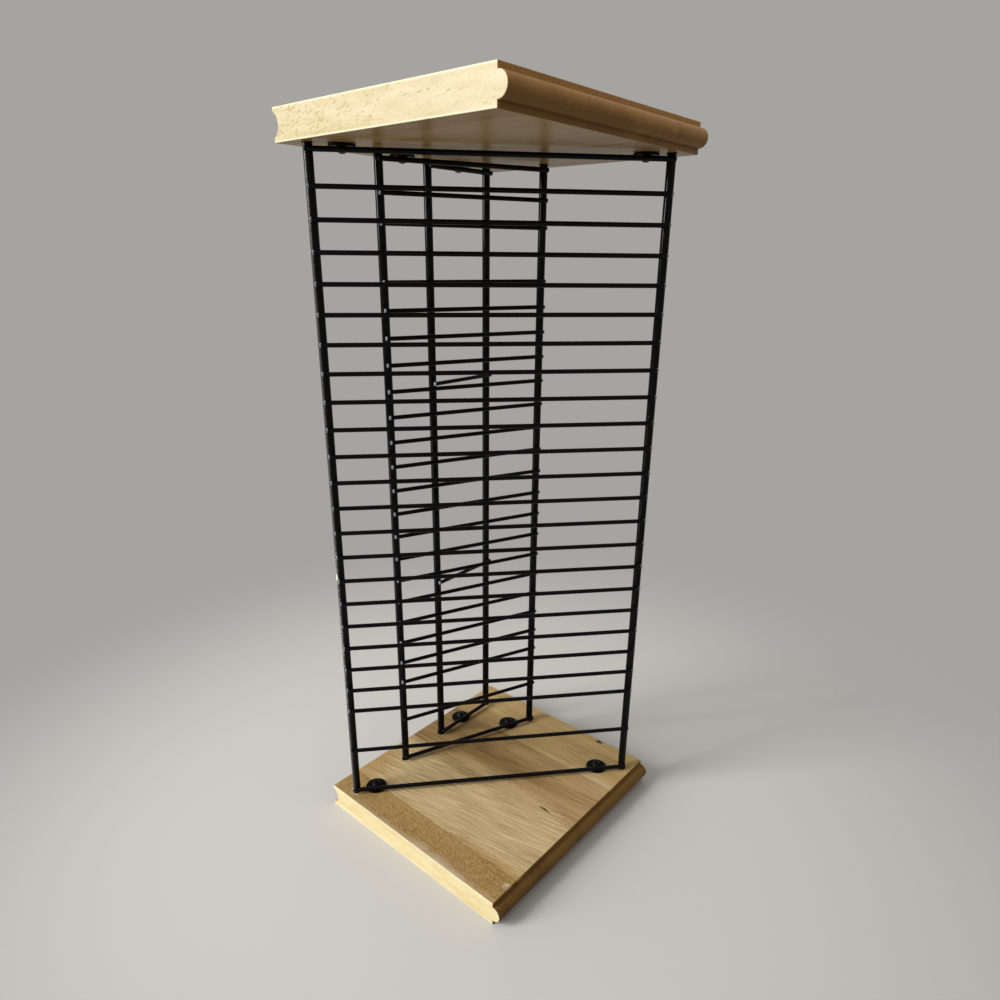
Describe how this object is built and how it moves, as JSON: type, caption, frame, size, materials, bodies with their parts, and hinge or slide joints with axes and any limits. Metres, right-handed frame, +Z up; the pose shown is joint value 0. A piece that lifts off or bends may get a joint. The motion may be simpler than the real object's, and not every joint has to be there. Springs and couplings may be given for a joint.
{
  "type": "cd stand",
  "caption": "Upright CD stand: welded black wire ladders, fanned in plan, hold cases flat between two wooden boards with a bead and a cove edge.",
  "frame": {"origin": "centre of the stand's bounding box, on the floor under the base board", "axes": "+Z up; +X towards the beaded edge of the boards; -Y towards the open front side, where cases go in"},
  "size_m": [0.1534, 0.165, 0.4307],
  "materials": {
    "base_wood": "satin clear lacquer on edge-glued hardwood staves",
    "top_wood": "satin clear lacquer on edge-glued hardwood staves",
    "wire": "satin-gloss black paint on welded steel wire",
    "washer": "black painted steel",
    "screw": "black steel"
  },
  "bodies": {
    "root": {"base_stave_1": "base_wood", "base_stave_2": "base_wood", "base_stave_3": "base_wood", "base_stave_4": "base_wood", "top_stave_1": "top_wood", "top_stave_2": "top_wood", "top_stave_3": "top_wood", "top_stave_4": "top_wood", "front_frame": "wire", "middle_frame": "wire", "back_frame": "wire", "front_base_washer_left": "washer", "front_base_washer_right": "washer", "front_top_washer_left": "washer", "front_top_washer_right": "washer", "middle_base_washer_right": "washer", "middle_top_washer_left": "washer", "back_base_washer_middle": "washer", "back_top_washer_middle": "washer", "front_base_screw_left": "screw", "front_base_screw_right": "screw", "front_top_screw_left": "screw", "front_top_screw_right": "screw", "middle_base_screw_right": "screw", "middle_top_screw_left": "screw", "back_base_screw_middle": "screw", "back_top_screw_middle": "screw"}
  },
  "joints": []
}
